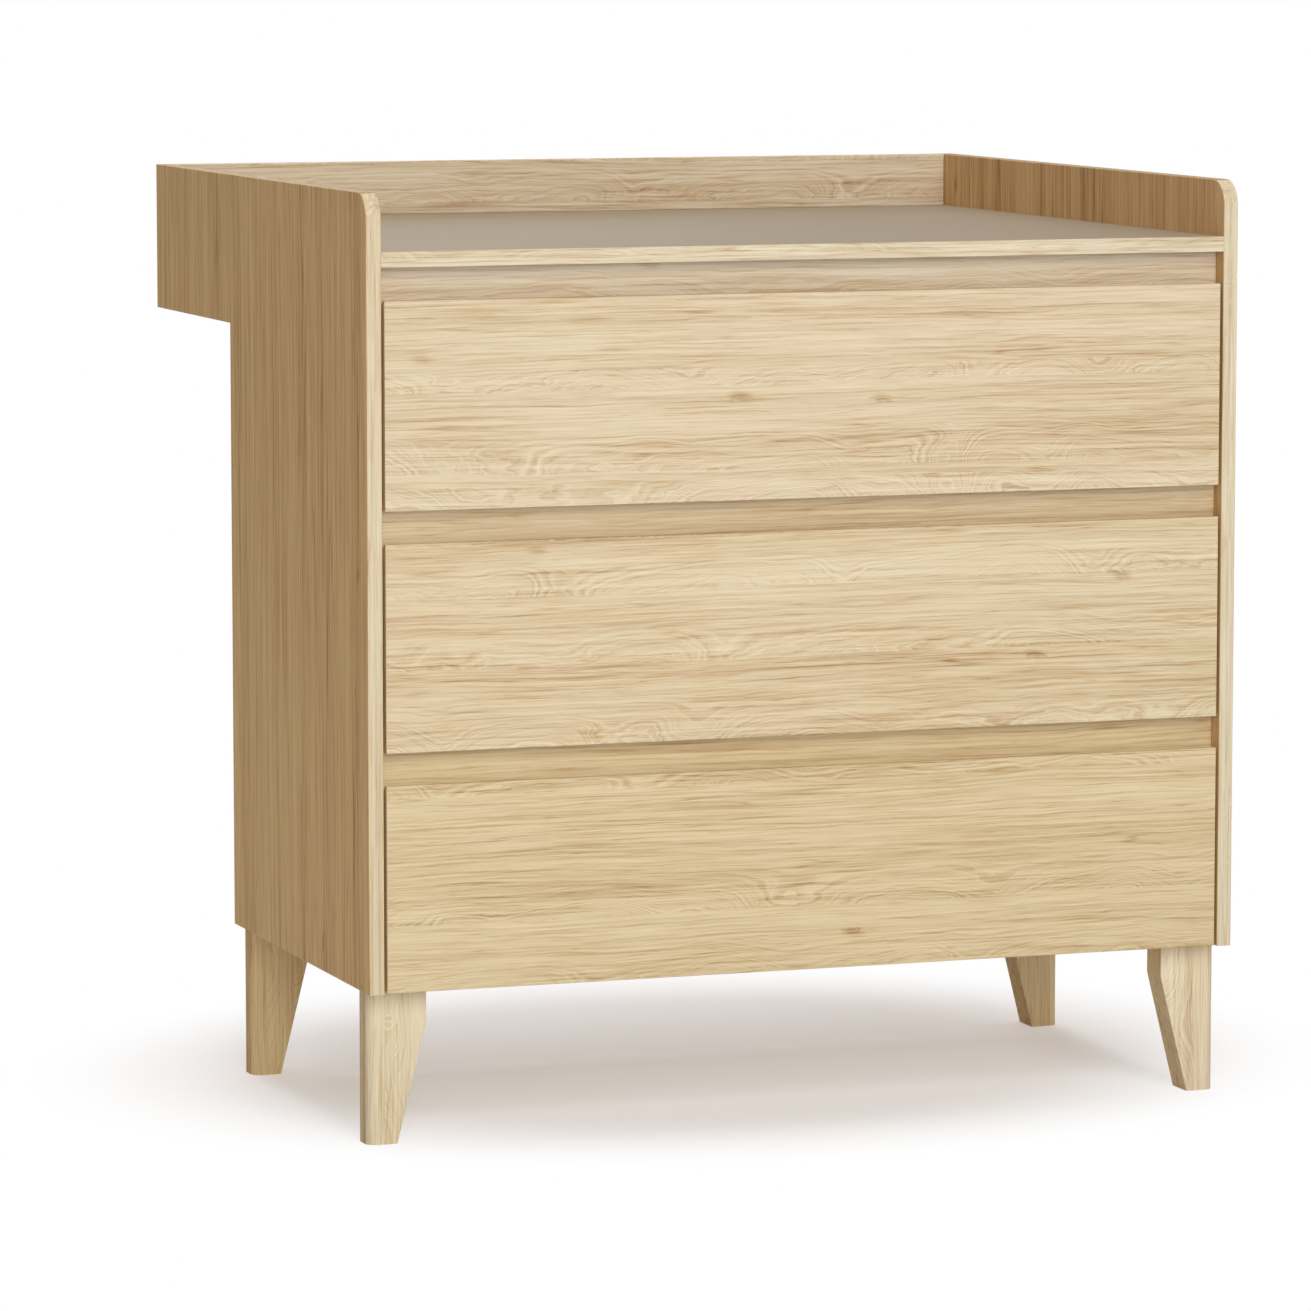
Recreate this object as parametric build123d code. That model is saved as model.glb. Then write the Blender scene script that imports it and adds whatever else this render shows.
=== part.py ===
from build123d import *
import os
from math import sqrt

# Changing table: a chest of three drawers on tapered legs, under a changing top that reaches
# back past the chest and is guarded on three sides. Millimetres, +Z up, the front faces -Y,
# the floor is Z = 0, and X and Y are zero at the middle of the whole footprint.

# Driving dimensions of the whole
WIDTH = 960.0
HEIGHT = 975.0
CHEST_DEPTH = 500.0
OVERHANG = 297.0
LEG_HEIGHT = 160.0
BOARD = 16.0
GUARD_HEIGHT = 160.0
GUARD_RISE = 59.0
TOP_CORNER = 28.0
EASE = 0.8
EDGE_BAND = 2.0

# Driving dimensions of the front
GRIP_GAP = 33.5
SIDE_GAP = 3.2
FOOT_GAP = 1.0
RAIL_RECESS = 20.0
RAIL_LAP = 12.0
FINGER_BEVEL = 10.0

# Legs
LEG_TOP = 63.5
LEG_FOOT = 32.0
LEG_THICK = 36.5
LEG_SHOULDER = 34.0
LEG_ROUND = 11.5
LEG_SIDE_INSET = 5.5
LEG_FRONT_INSET = 27.0
LEG_REAR_INSET = 13.0
LEG_EASE = 1.0

# Thin panels and the grooves that hold them
HARDBOARD = 3.0
GROOVE_PLAY = 0.2
BACK_INSET = 13.0
BACK_GROOVE = 8.0
BOTTOM_GROOVE = 6.0
GROOVE_END = 0.5

# Drawer boxes
DRAWERS = ("bottom", "middle", "top")
DRAWER_BOARD = 12.0
BOX_RISE = 22.0
BOX_HEIGHT = 168.0
BOX_DEPTH = 440.0
BOTTOM_RISE = 8.0
BOARD_ROUND = 4.0
HEEL_ROUND = 1.6

# Roller runners: bent sheet in the space beside each drawer box
RUNNER_SPACE = 12.5
RUNNER_RISE = 30.0
SHEET = 1.2
BEND = 1.4
ROLLER = 11.5
ROLLER_WIDTH = 6.0
ROLLER_PLAY = 0.4
TRACK_PLAY = 0.3
FLANGE_GAP = 0.7
AXLE = 3.0
AXLE_PLAY = 0.05
AXLE_HEAD = 4.5
AXLE_HEAD_THICK = 0.9
REAR_STANDOFF = 1.7
ROLLER_HUB = 5.2
ROLLER_RIM = 9.4
ROLLER_DISH = 1.4
ROLLER_CROWN = 0.8
CABINET_FROM = 22.0
CABINET_LENGTH = 444.0
CABINET_LIP = 2.5
CABINET_LIP_OUT = 10.8
UPPER_FLANGE = 9.4
TAB_FROM = 2.6
TAB_FOOT = 4.0
SLOT_HOLE = (9.0, 4.4)
MEMBER_FROM = 17.0
MEMBER_LENGTH = 438.0
MEMBER_SHELF = 12.0
RUNNING_FLANGE_FROM = 2.5
ROLLER_END = 13.0
STOP_DROP = 6.0
STOP_PLAY = 0.5
TRAVEL = 340.0

# Cam fittings, dowels and screws
PLAY = 0.1
CAM = 7.4
CAM_HEIGHT = 12.2
CAM_REACH = 34.0
CAM_SLOT = (9.0, 1.6, 2.4)
BOLT_BORE = 4.0
BOLT_THREAD = 2.4
BOLT_GRIP = 11.0
BOLT_SHAFT = 3.0
BOLT_HEAD = 3.4
BOLT_HEAD_LENGTH = 4.0
BOLT_REACH = 33.0
DOWEL_IN_END = 20.0
DOWEL_IN_FACE = 10.0
DOWEL = 4.0
DRAWER_DOWEL = 3.0
LEG_SCREW = dict(head=6.0, shank=3.0, length=60.0)
BACK_SCREW = dict(head=4.0, shank=2.0, length=40.0)
RUNNER_SCREW = dict(head=3.2, shank=1.75, length=13.0)
PANEL_PIN = dict(head=2.4, shank=0.8, length=20.0)
SCREW_TIP = 3.0
PAN_RISE = 1.4
PAN_CROWN = 0.7

# Derived planes and heights
DEPTH = CHEST_DEPTH + OVERHANG
FRONT = -DEPTH / 2
REAR = DEPTH / 2
CHEST_BACK = FRONT + CHEST_DEPTH
INNER = WIDTH / 2 - BOARD
SURFACE = HEIGHT - GUARD_RISE
TOP_UNDER = SURFACE - BOARD
GUARD_BASE = HEIGHT - GUARD_HEIGHT
FLOOR_TOP = LEG_HEIGHT + BOARD
RAIL_FACE = FRONT + RAIL_RECESS
RAIL_BACK = RAIL_FACE + BOARD
BACK_FACE = CHEST_BACK - BACK_INSET - HARDBOARD
FRONT_HEIGHT = (TOP_UNDER - LEG_HEIGHT - FOOT_GAP - len(DRAWERS) * GRIP_GAP) / len(DRAWERS)
PITCH = FRONT_HEIGHT + GRIP_GAP
BOX_OUTER = INNER - RUNNER_SPACE
BOX_INNER = BOX_OUTER - DRAWER_BOARD
BOX_FROM = FRONT + BOARD
BOX_TO = BOX_FROM + BOX_DEPTH

# Derived heights of the runner parts, from the rear roller's axle
TRACK = ROLLER + ROLLER_PLAY
UPPER_EDGE = TRACK + SHEET
RUNNING_FACE = UPPER_EDGE + FLANGE_GAP
FRONT_AXLE_RISE = RUNNING_FACE - TRACK_PLAY - ROLLER
FRONT_AXLE = FRONT + CABINET_FROM + ROLLER_END
REAR_AXLE = FRONT + MEMBER_FROM + MEMBER_LENGTH - ROLLER_END
STOP_EDGE = TRACK - STOP_DROP
STOP_FACE = REAR_AXLE - TRAVEL - sqrt(ROLLER**2 - STOP_EDGE**2) - STOP_PLAY

# Where the fittings sit along the boards
SIDES = {"left": -1, "right": 1}
TOP_CAMS = (FRONT + 80, REAR - 95)
TOP_DOWELS = (FRONT + 250, FRONT + 545)
FLOOR_CAMS = (FRONT + 110, FRONT + 410)
FLOOR_DOWEL = FRONT + 250
GUARD_CAM_HEIGHT = GUARD_BASE + 45
GUARD_DOWEL_HEIGHT = HEIGHT - 30
GUARD_TOP_DOWELS = (-300, 0, 300)
RAIL_CAM_OFFSET = 9.0
RAIL_DOWEL_OFFSET = -10.0
LEG_SCREW_INSETS = (28.0, 50.0)
CABINET_SCREWS = (FRONT + 62, FRONT + 420)
CABINET_SCREW_RISE = 7.8
CABINET_SLOTS = (FRONT + 126, FRONT + 222, FRONT + 318)
MEMBER_SCREWS = (FRONT + 60, FRONT + 400)
MEMBER_SCREW_INSET = 4.0
MEMBER_SLOTS = (FRONT + 140, FRONT + 320)
BOX_JOINT_HEIGHTS = (40.0, 130.0)
BACK_PINS = (-360, -120, 120, 360)
BOTTOM_PINS = (-300, 0, 300)

boards = {}
cutters = {}
groups = {}


def block(x, y, z):
    """Box between a low and a high limit along each of X, Y and Z."""
    limits = (x, y, z)
    centre = [(low + high) / 2 for low, high in limits]
    size = [high - low for low, high in limits]
    return Pos(*centre) * Box(*size)


def rod(point, way, radius, length):
    """Cylinder that starts at a point and runs along a direction."""
    base = (Align.CENTER, Align.CENTER, Align.MIN)
    return Plane(origin=point, z_dir=way) * Cylinder(radius, length, align=base)


def turned(point, way, outline):
    """Solid of revolution whose (radius, distance) outline runs along a direction."""
    half = Plane.XZ * make_face(Polyline(*outline, close=True))
    return Plane(origin=point, z_dir=way) * revolve(half, Axis.Z)


def drill(node, *tools):
    cutters.setdefault(node, []).extend(tools)


def fasten(node, *pieces):
    groups.setdefault(node, []).extend(pieces)


def flat_screw(point, way, head, shank, length):
    """Countersunk screw, its head's face at the point."""
    outline = [(0, 0), (head, 0), (shank, head - shank), (shank, length - SCREW_TIP), (0, length)]
    return turned(point, way, outline)


def pan_screw(point, way, head, shank, length):
    """Screw with a domed head that stands on the point's surface."""
    crown = (PAN_CROWN * head, -PAN_RISE)
    outline = [(0, -PAN_RISE), crown, (head, 0), (shank, 0), (shank, length - SCREW_TIP), (0, length)]
    return turned(point, way, outline)


def cam_lock(mouth, face, inward):
    """Slotted cam, with a side pocket for the head of its bolt."""
    drum = rod(mouth, -face, CAM, CAM_HEIGHT)
    plane = Plane(origin=mouth, z_dir=face, x_dir=inward)
    length, width, depth = CAM_SLOT
    cross = plane * (Box(length, width, 2 * depth) + Box(width, length, 2 * depth))
    pocket = rod(mouth - face * (BOARD / 2), -inward, BOLT_HEAD + PLAY, 2 * CAM)
    return drum - cross - pocket


def cam_bolt(end, inward):
    """Bolt that screws into the side panel and ends in a head inside the cam."""
    neck = BOLT_REACH - BOLT_HEAD_LENGTH
    outline = [
        (0, -BOLT_GRIP), (BOLT_THREAD, -BOLT_GRIP), (BOLT_THREAD, 0), (BOLT_SHAFT, 0),
        (BOLT_SHAFT, neck), (BOLT_HEAD, neck), (BOLT_HEAD, BOLT_REACH), (0, BOLT_REACH),
    ]
    return turned(end, inward, outline)


def cam_joint(board, side, end, inward, face):
    """Cam fitting between a board's end, at mid-thickness, and the side panel."""
    end, inward, face = Vector(end), Vector(inward), Vector(face)
    mouth = end + inward * CAM_REACH + face * (BOARD / 2)
    drill(board, rod(end, inward, BOLT_BORE, CAM_REACH))
    drill(board, rod(mouth, -face, CAM + PLAY, CAM_HEIGHT + PLAY))
    drill(side, rod(end, -inward, BOLT_THREAD + PLAY, BOLT_GRIP + PLAY))
    fasten("cam_locks", cam_lock(mouth, face, inward))
    fasten("cam_bolts", cam_bolt(end, inward))


def dowel_joint(group, ended, faced, point, way, radius):
    """Dowel from the face of one board into the end of another, along a direction."""
    start = Vector(point) - Vector(way) * DOWEL_IN_FACE
    length = DOWEL_IN_FACE + DOWEL_IN_END
    hole = rod(start - Vector(way) * PLAY, way, radius + PLAY / 2, length + 2 * PLAY)
    drill(ended, hole)
    drill(faced, hole)
    fasten(group, rod(start, way, radius, length))


def pin_joint(group, sheet, board, head, way):
    """Flat-headed panel pin through a thin sheet into the edge of a board."""
    looser = {key: size + PLAY for key, size in PANEL_PIN.items()}
    hole = flat_screw(head, way, **looser)
    drill(sheet, hole)
    drill(board, hole)
    fasten(group, flat_screw(head, way, **PANEL_PIN))


def eased_board(x, y, z):
    """Board whose edges are all slightly rounded."""
    board = block(x, y, z)
    return fillet(board.edges(), EASE)


def side_panel(hand):
    """Side of the chest and guard in one L-shaped board with a rounded upper front corner."""
    corners = [
        (FRONT, LEG_HEIGHT), (FRONT, HEIGHT), (REAR, HEIGHT), (REAR, GUARD_BASE),
        (CHEST_BACK, GUARD_BASE), (CHEST_BACK, LEG_HEIGHT),
    ]
    sharp = make_face(Polyline(*corners, close=True))
    tip = sharp.vertices().sort_by_distance((FRONT, HEIGHT, 0))[0]
    outline = Plane.YZ * fillet(tip, TOP_CORNER)
    panel = Pos(INNER, 0, 0) * extrude(outline, BOARD)
    rims = [edge for edge in panel.edges() if edge.bounding_box().size.X < BOARD / 2]
    panel = fillet(rims, EASE)
    return panel if hand > 0 else mirror(panel, about=Plane.YZ)


def leg(hand, front):
    """Flat leg: straight outer face with rounded corners, inner face tapered to the foot."""
    outer = WIDTH / 2 - LEG_SIDE_INSET
    corners = [
        (outer, LEG_HEIGHT), (outer, 0), (outer - LEG_FOOT, 0),
        (outer - LEG_TOP, LEG_HEIGHT - LEG_SHOULDER), (outer - LEG_TOP, LEG_HEIGHT),
    ]
    outline = Plane.XZ * make_face(Polyline(*corners, close=True))
    block_leg = Pos(0, front + LEG_THICK, 0) * extrude(outline, LEG_THICK)
    block_leg = fillet(block_leg.edges().filter_by(Axis.Z).group_by(Axis.X)[-1], LEG_ROUND)
    inner = [
        edge for edge in block_leg.edges()
        if edge.bounding_box().size.Y < EASE and edge.center().X < outer - LEG_FOOT
        and edge.center().Z < LEG_HEIGHT - EASE
    ]
    block_leg = fillet(inner, LEG_EASE)
    return block_leg if hand > 0 else mirror(block_leg, about=Plane.YZ)


def carcass():
    """Boards of the chest and of the guarded top."""
    between = (-INNER, INNER)
    for name, hand in SIDES.items():
        boards[f"{name}_side_panel"] = side_panel(hand)
    boards["changing_top"] = block(between, (FRONT + EDGE_BAND, REAR - BOARD), (TOP_UNDER, SURFACE))
    band = block(between, (FRONT, FRONT + EDGE_BAND), (TOP_UNDER, SURFACE))
    front_edges = band.edges().filter_by(Axis.X).group_by(Axis.Y)[0]
    boards["top_front_band"] = fillet(front_edges, EASE)
    boards["rear_guard_board"] = eased_board(between, (REAR - BOARD, REAR), (GUARD_BASE, HEIGHT))
    boards["bottom_panel"] = block(between, (RAIL_FACE, BACK_FACE), (LEG_HEIGHT, FLOOR_TOP))

    groove = BACK_GROOVE - GROOVE_END
    boards["back_panel"] = block(
        (-INNER - groove, INNER + groove),
        (BACK_FACE, BACK_FACE + HARDBOARD),
        (LEG_HEIGHT + GROOVE_END, TOP_UNDER + groove),
    )
    slot = block(
        (-INNER - BACK_GROOVE, INNER + BACK_GROOVE),
        (BACK_FACE - GROOVE_PLAY, BACK_FACE + HARDBOARD + GROOVE_PLAY),
        (LEG_HEIGHT - EASE, TOP_UNDER + BACK_GROOVE),
    )
    for grooved in ("left_side_panel", "right_side_panel", "changing_top"):
        drill(grooved, slot)
    for across in BACK_PINS:
        head = (across, BACK_FACE + HARDBOARD, LEG_HEIGHT + BOARD / 2)
        pin_joint("back_panel_pins", "back_panel", "bottom_panel", head, (0, -1, 0))


def grip_rails():
    """Boards set back behind the grip gaps, lapping the drawer fronts above and below."""
    for level, drawer in enumerate(DRAWERS):
        low = LEG_HEIGHT + FOOT_GAP + level * PITCH + FRONT_HEIGHT - RAIL_LAP
        high = min(low + GRIP_GAP + 2 * RAIL_LAP, TOP_UNDER)
        rail = f"{drawer}_grip_rail"
        board = block((-INNER, INNER), (RAIL_FACE, RAIL_BACK), (low, high))
        boards[rail] = fillet(board.edges().filter_by(Axis.X).group_by(Axis.Y)[0], EASE)
        middle = (low + high) / 2
        for name, hand in SIDES.items():
            side = f"{name}_side_panel"
            end = (hand * INNER, RAIL_FACE + BOARD / 2)
            cam_joint(rail, side, (*end, middle + RAIL_CAM_OFFSET), (-hand, 0, 0), (0, 1, 0))
            point = (*end, middle + RAIL_DOWEL_OFFSET)
            dowel_joint("carcass_dowels", rail, side, point, (-hand, 0, 0), DOWEL)


def carcass_fittings():
    """Cams and dowels that hold the top, the floor and the rear guard between the sides."""
    top_middle = TOP_UNDER + BOARD / 2
    floor_middle = LEG_HEIGHT + BOARD / 2
    guard_middle = REAR - BOARD / 2
    for name, hand in SIDES.items():
        side = f"{name}_side_panel"
        end = hand * INNER
        inward = (-hand, 0, 0)
        for depth in TOP_CAMS:
            cam_joint("changing_top", side, (end, depth, top_middle), inward, (0, 0, -1))
        for depth in TOP_DOWELS:
            point = (end, depth, top_middle)
            dowel_joint("carcass_dowels", "changing_top", side, point, inward, DOWEL)
        for depth in FLOOR_CAMS:
            cam_joint("bottom_panel", side, (end, depth, floor_middle), inward, (0, 0, 1))
        point = (end, FLOOR_DOWEL, floor_middle)
        dowel_joint("carcass_dowels", "bottom_panel", side, point, inward, DOWEL)
        point = (end, guard_middle, GUARD_CAM_HEIGHT)
        cam_joint("rear_guard_board", side, point, inward, (0, 1, 0))
        point = (end, guard_middle, GUARD_DOWEL_HEIGHT)
        dowel_joint("carcass_dowels", "rear_guard_board", side, point, inward, DOWEL)
    for across in GUARD_TOP_DOWELS:
        point = (across, REAR - BOARD, top_middle)
        dowel_joint("carcass_dowels", "changing_top", "rear_guard_board", point, (0, -1, 0), DOWEL)


def legs():
    """Four legs under the corners, each held by two screws through the chest's floor."""
    fronts = {"front": FRONT + LEG_FRONT_INSET, "rear": CHEST_BACK - LEG_REAR_INSET - LEG_THICK}
    looser = {key: size + PLAY for key, size in LEG_SCREW.items()}
    for place, front in fronts.items():
        for name, hand in SIDES.items():
            node = f"{place}_{name}_leg"
            boards[node] = leg(hand, front)
            for reach in LEG_SCREW_INSETS:
                across = hand * (WIDTH / 2 - LEG_SIDE_INSET - reach)
                head = (across, front + LEG_THICK / 2, FLOOR_TOP)
                hole = flat_screw(head, (0, 0, -1), **looser)
                drill("bottom_panel", hole)
                drill(node, hole)
                fasten("leg_screws", flat_screw(head, (0, 0, -1), **LEG_SCREW))


def drawer_side(hand, base, top):
    """Side of a drawer box: rounded along the top, and eased at the heel that sits in the runner's bend."""
    board = block((BOX_INNER, BOX_OUTER), (BOX_FROM, BOX_TO), (base, top))
    board = fillet(board.edges().filter_by(Axis.Y).group_by(Axis.Z)[-1], BOARD_ROUND)
    heel = board.edges().filter_by(Axis.Y).group_by(Axis.Z)[0].sort_by(Axis.X)[-1]
    board = fillet(heel, HEEL_ROUND)
    return board if hand > 0 else mirror(board, about=Plane.YZ)


def drawer_box(drawer, base):
    """Front with a bevelled finger edge, and the box of thin boards behind it."""
    low = base - BOX_RISE
    half_front = INNER - SIDE_GAP
    face = block((-half_front, half_front), (FRONT, BOX_FROM), (low, low + FRONT_HEIGHT))
    grip = face.edges().filter_by(Axis.X).group_by(Axis.Z)[-1].sort_by(Axis.Y)[-1]
    face = chamfer(grip, FINGER_BEVEL)
    front = f"{drawer}_drawer_front"
    boards[front] = fillet(face.edges(), EASE)

    top = base + BOX_HEIGHT
    under = base + BOTTOM_RISE
    back = f"{drawer}_drawer_back"
    back_base = under + HARDBOARD + GROOVE_PLAY
    board = block((-BOX_INNER, BOX_INNER), (BOX_TO - DRAWER_BOARD, BOX_TO), (back_base, top))
    boards[back] = fillet(board.edges().filter_by(Axis.X).group_by(Axis.Z)[-1], BOARD_ROUND)
    reach = BOX_INNER + BOTTOM_GROOVE
    boards[f"{drawer}_drawer_bottom"] = block(
        (GROOVE_END - reach, reach - GROOVE_END),
        (BOX_FROM - BOTTOM_GROOVE + GROOVE_END, BOX_TO),
        (under, under + HARDBOARD),
    )
    groove = block(
        (-reach, reach),
        (BOX_FROM - BOTTOM_GROOVE, BOX_TO + GROOVE_END),
        (under - GROOVE_PLAY, under + HARDBOARD + GROOVE_PLAY),
    )
    drill(front, groove)
    for across in BOTTOM_PINS:
        head = (across, BOX_TO - DRAWER_BOARD / 2, under)
        pin_joint(f"{drawer}_drawer_fasteners", f"{drawer}_drawer_bottom", back, head, (0, 0, 1))

    looser = {key: size + PLAY for key, size in BACK_SCREW.items()}
    for name, hand in SIDES.items():
        side = f"{drawer}_drawer_{name}_side"
        boards[side] = drawer_side(hand, base, top)
        drill(side, groove)
        for height in BOX_JOINT_HEIGHTS:
            point = (hand * (BOX_INNER + BOX_OUTER) / 2, BOX_FROM, base + height)
            dowel_joint(f"{drawer}_drawer_dowels", side, front, point, (0, 1, 0), DRAWER_DOWEL)
            head = (hand * BOX_OUTER, BOX_TO - DRAWER_BOARD / 2, base + height)
            hole = flat_screw(head, (-hand, 0, 0), **looser)
            drill(side, hole)
            drill(back, hole)
            fasten(f"{drawer}_drawer_fasteners", flat_screw(head, (-hand, 0, 0), **BACK_SCREW))


def bent_sheet(path, plane, run):
    """Sheet bent along a path in a plane, at mid-thickness, between two limits along the axis across it."""
    profile = plane * trace(FilletPolyline(*path, radius=BEND), SHEET)
    axis = Vector(*(abs(part) for part in plane.z_dir))
    return Pos(*(axis * run[0])) * extrude(profile, run[1] - run[0], dir=axis)


def oblong_hole(point, way):
    """Cutter for an oblong hole, long along Y, through a sheet."""
    plane = Plane(origin=point, x_dir=(0, 1, 0), z_dir=way)
    return extrude(plane * SlotOverall(*SLOT_HOLE), SHEET, both=True)


def cabinet_runner(hand, axle):
    """Channel on the side panel: web, lipped lower track, and upper flange that ends in a folded stop tab."""
    start = FRONT + CABINET_FROM
    end = start + CABINET_LENGTH
    low = axle - UPPER_EDGE
    high = axle + UPPER_EDGE
    half = SHEET / 2
    web = INNER - half
    lip = INNER - CABINET_LIP_OUT + half
    flange_edge = INNER - UPPER_FLANGE
    track = [(lip, low + SHEET + CABINET_LIP), (lip, low + half), (web, low + half)]
    flange = [(web, high - half), (flange_edge, high - half)]
    notch = STOP_FACE + BEND
    channel = bent_sheet([*track, (web, high)], Plane.XZ, (start, notch))
    channel += bent_sheet(track + flange, Plane.XZ, (notch, end))

    fold = STOP_FACE - half
    tab = [(fold, axle + STOP_EDGE), (fold, high - half), (fold + TAB_FOOT, high - half)]
    channel += bent_sheet(tab, Plane.YZ, (flange_edge, INNER - TAB_FROM))
    for depth in CABINET_SLOTS:
        channel -= oblong_hole((web, depth, axle), (1, 0, 0))
    face = (INNER - SHEET, FRONT_AXLE, axle + FRONT_AXLE_RISE)
    channel += roller_axle(face, -1, 0)
    return channel if hand > 0 else mirror(channel, about=Plane.YZ)


def drawer_runner(hand, axle):
    """Angle under the drawer side, with a running flange along its upper edge."""
    start = FRONT + MEMBER_FROM
    half = SHEET / 2
    web = BOX_OUTER + half
    shelf = axle + BOX_RISE - RUNNER_RISE - half
    top = axle + RUNNING_FACE + half
    path = [
        (web + half - MEMBER_SHELF, shelf), (web, shelf), (web, top), (INNER - RUNNING_FLANGE_FROM, top),
    ]
    angle = bent_sheet(path, Plane.XZ, (start, start + MEMBER_LENGTH))
    for depth in MEMBER_SLOTS:
        angle -= oblong_hole((BOX_OUTER - MEMBER_SCREW_INSET, depth, shelf), (0, 0, 1))
    angle += roller_axle((BOX_OUTER + SHEET, REAR_AXLE, axle), 1, REAR_STANDOFF)
    return angle if hand > 0 else mirror(angle, about=Plane.YZ)


def roller_axle(face, way, standoff):
    """Riveted axle on a runner's web: a collar of some standoff, a shaft, and a keeping head."""
    end = standoff + ROLLER_WIDTH + 2 * ROLLER_PLAY
    tip = end + AXLE_HEAD_THICK
    root = -SHEET / 2
    outline = [
        (0, root), (AXLE_HEAD, root), (AXLE_HEAD, standoff), (AXLE, standoff),
        (AXLE, end), (AXLE_HEAD, end), (AXLE_HEAD, tip), (0, tip),
    ]
    return turned(face, (way, 0, 0), outline)


def roller(face, way, standoff):
    """Moulded roller with a hub, a dished web and a rim with bevelled edges."""
    bore = AXLE + AXLE_PLAY
    near = [
        (bore, 0), (ROLLER_HUB, 0), (ROLLER_HUB, ROLLER_DISH), (ROLLER_RIM, ROLLER_DISH),
        (ROLLER_RIM, 0), (ROLLER - ROLLER_CROWN, 0), (ROLLER, ROLLER_CROWN),
    ]
    far = [(radius, ROLLER_WIDTH - along) for radius, along in reversed(near)]
    seat = Vector(face) + Vector(way, 0, 0) * (standoff + ROLLER_PLAY)
    return turned(seat, (way, 0, 0), near + far)


def runners(drawer, base):
    """Pair of roller runners: channels on the side panels, angles under the drawer box."""
    axle = base - BOX_RISE + RUNNER_RISE
    shelf_under = base - SHEET
    looser = {key: size + PLAY for key, size in RUNNER_SCREW.items()}
    for name, hand in SIDES.items():
        channel = f"{drawer}_cabinet_runner_{name}"
        angle = f"{drawer}_drawer_runner_{name}"
        boards[channel] = cabinet_runner(hand, axle)
        boards[angle] = drawer_runner(hand, axle)
        front_face = (hand * (INNER - SHEET), FRONT_AXLE, axle + FRONT_AXLE_RISE)
        rear_face = (hand * (BOX_OUTER + SHEET), REAR_AXLE, axle)
        fasten(f"{drawer}_front_rollers", roller(front_face, -hand, 0))
        fasten(f"{drawer}_rear_rollers", roller(rear_face, hand, REAR_STANDOFF))
        for depth in CABINET_SCREWS:
            point = (hand * (INNER - SHEET), depth, axle + CABINET_SCREW_RISE)
            drill(channel, rod(point, (hand, 0, 0), looser["shank"], SHEET + PLAY))
            drill(f"{name}_side_panel", rod(point, (hand, 0, 0), looser["shank"], looser["length"]))
            fasten("runner_screws", pan_screw(point, (hand, 0, 0), **RUNNER_SCREW))
        for depth in MEMBER_SCREWS:
            point = (hand * (BOX_OUTER - MEMBER_SCREW_INSET), depth, shelf_under)
            hole = rod(point, (0, 0, 1), looser["shank"], looser["length"])
            drill(angle, hole)
            drill(f"{drawer}_drawer_{name}_side", hole)
            fasten(f"{drawer}_drawer_fasteners", pan_screw(point, (0, 0, 1), **RUNNER_SCREW))


def main():
    carcass()
    grip_rails()
    carcass_fittings()
    legs()
    for level, drawer in enumerate(DRAWERS):
        base = LEG_HEIGHT + FOOT_GAP + level * PITCH + BOX_RISE
        drawer_box(drawer, base)
        runners(drawer, base)

    os.makedirs("parts", exist_ok=True)
    for node, board in boards.items():
        solid = board - cutters[node] if node in cutters else board
        export_step(solid, f"parts/{node}.step")
    for node, pieces in groups.items():
        export_step(Compound(children=pieces), f"parts/{node}.step")
    print(len(boards) + len(groups), "nodes, drawer front height", round(FRONT_HEIGHT, 2))


main()
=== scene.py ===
from math import radians
from typing import NamedTuple

import bpy
import numpy as np
from bpy.props import FloatProperty, FloatVectorProperty, PointerProperty
from bpy.types import Operator, Panel, PropertyGroup
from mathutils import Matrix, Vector


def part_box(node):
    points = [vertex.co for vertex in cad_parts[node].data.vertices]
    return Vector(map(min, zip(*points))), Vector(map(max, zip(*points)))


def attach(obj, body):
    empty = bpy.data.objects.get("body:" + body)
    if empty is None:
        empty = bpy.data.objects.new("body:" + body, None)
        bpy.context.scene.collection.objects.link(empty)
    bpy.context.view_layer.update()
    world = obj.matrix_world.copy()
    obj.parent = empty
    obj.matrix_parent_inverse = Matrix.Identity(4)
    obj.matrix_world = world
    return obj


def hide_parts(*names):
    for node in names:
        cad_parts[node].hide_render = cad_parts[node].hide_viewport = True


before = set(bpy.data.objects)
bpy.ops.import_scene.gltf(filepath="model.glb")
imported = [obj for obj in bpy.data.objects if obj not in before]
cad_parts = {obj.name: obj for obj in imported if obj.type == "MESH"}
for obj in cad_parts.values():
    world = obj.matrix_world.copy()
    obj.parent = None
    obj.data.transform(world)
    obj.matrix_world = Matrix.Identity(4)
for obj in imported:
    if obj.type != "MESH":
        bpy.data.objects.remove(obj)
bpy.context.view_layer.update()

bl_info = {
    "name": "Changing table finish",
    "version": (1, 0, 0),
    "blender": (4, 5, 0),
    "location": "View3D > Sidebar > Changing Table",
    "description": "Finishes, small fittings and a studio for an oak changing table",
    "category": "Object",
}

DRAWERS = ("bottom", "middle", "top")
HANDS = ("left", "right")
PLACES = ("front", "rear")


# Settings

def srgb(*levels):
    """Linear colour of three screen levels from 0 to 255."""
    return tuple(((level / 255 + 0.055) / 1.055) ** 2.4 for level in levels)


def colour(name, description, *levels):
    return FloatVectorProperty(
        name=name, description=description, subtype="COLOR", size=3, min=0, max=1,
        default=srgb(*levels),
    )


def length(name, description, default):
    return FloatProperty(
        name=name, description=description, default=default, min=0, unit="LENGTH", precision=4
    )


def share(name, description, default):
    return FloatProperty(
        name=name, description=description, default=default, min=0, max=1, subtype="FACTOR"
    )


def amount(name, description, default):
    return FloatProperty(name=name, description=description, default=default, min=0)


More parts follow.
